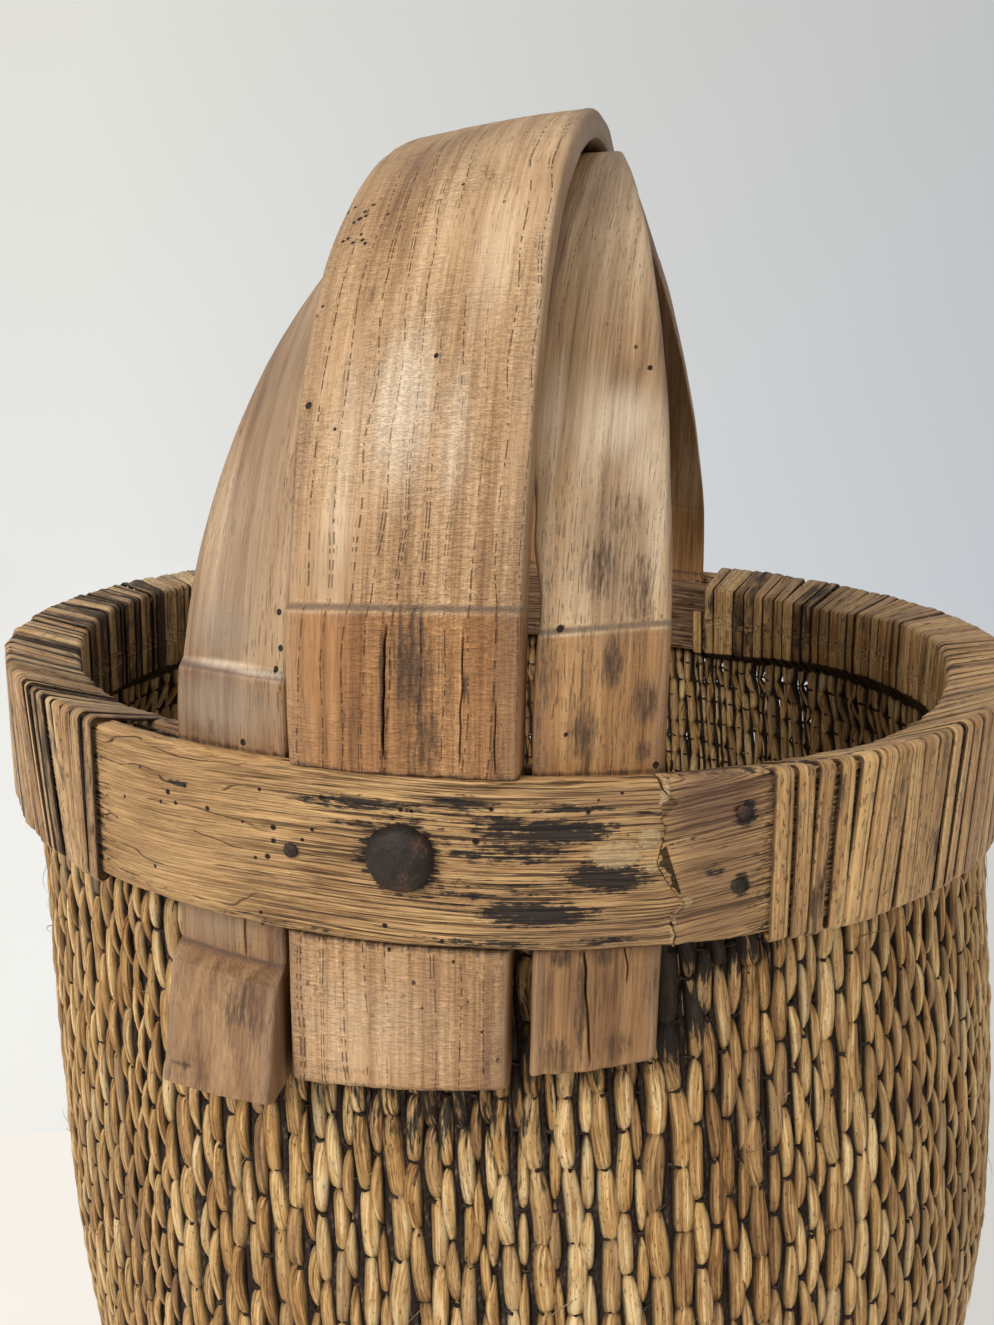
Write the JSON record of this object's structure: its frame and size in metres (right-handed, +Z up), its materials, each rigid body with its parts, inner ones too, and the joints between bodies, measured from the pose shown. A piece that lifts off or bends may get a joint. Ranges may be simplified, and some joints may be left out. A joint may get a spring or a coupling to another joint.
{
  "type": "harvest basket",
  "caption": "Round woven willow harvest basket with cane-bound wooden rim bands and a fixed bent wood handle, for carrying grain, fruit or firewood.",
  "frame": {"origin": "on the floor under the middle of the basket's box", "axes": "+Z up; the handle spans from front (-Y) to back (+Y); +X is to the right seen from the front"},
  "size_m": [0.4246, 0.416, 0.5883],
  "materials": {
    "willow": "aged willow, satin, with dark gaps and cord",
    "band_wood": "split band, dry open grain with black weather stain",
    "handle_wood": "bent open-grained wood, polished by handling",
    "pale_cane": "split cane, honey brown, half gloss",
    "dark_cane": "split cane, aged brown grey, half gloss",
    "iron": "forged iron, dark, with rust specks"
  },
  "bodies": {
    "root": {"woven_body": "willow", "rim_outer_band": "band_wood", "rim_inner_band": "band_wood", "handle_centre_strap": "handle_wood", "handle_left_strap": "handle_wood", "handle_right_strap": "handle_wood", "right_cane_front": "pale_cane", "right_cane_middle": "pale_cane", "right_cane_back": "pale_cane", "left_cane_front": "dark_cane", "left_cane_middle": "dark_cane", "left_cane_back": "dark_cane", "front_dome_nail": "iron", "front_small_nail": "iron", "front_upper_end_nail": "iron", "front_lower_end_nail": "iron", "back_dome_nail": "iron", "back_small_nail": "iron", "back_upper_end_nail": "iron", "back_lower_end_nail": "iron"}
  },
  "joints": []
}
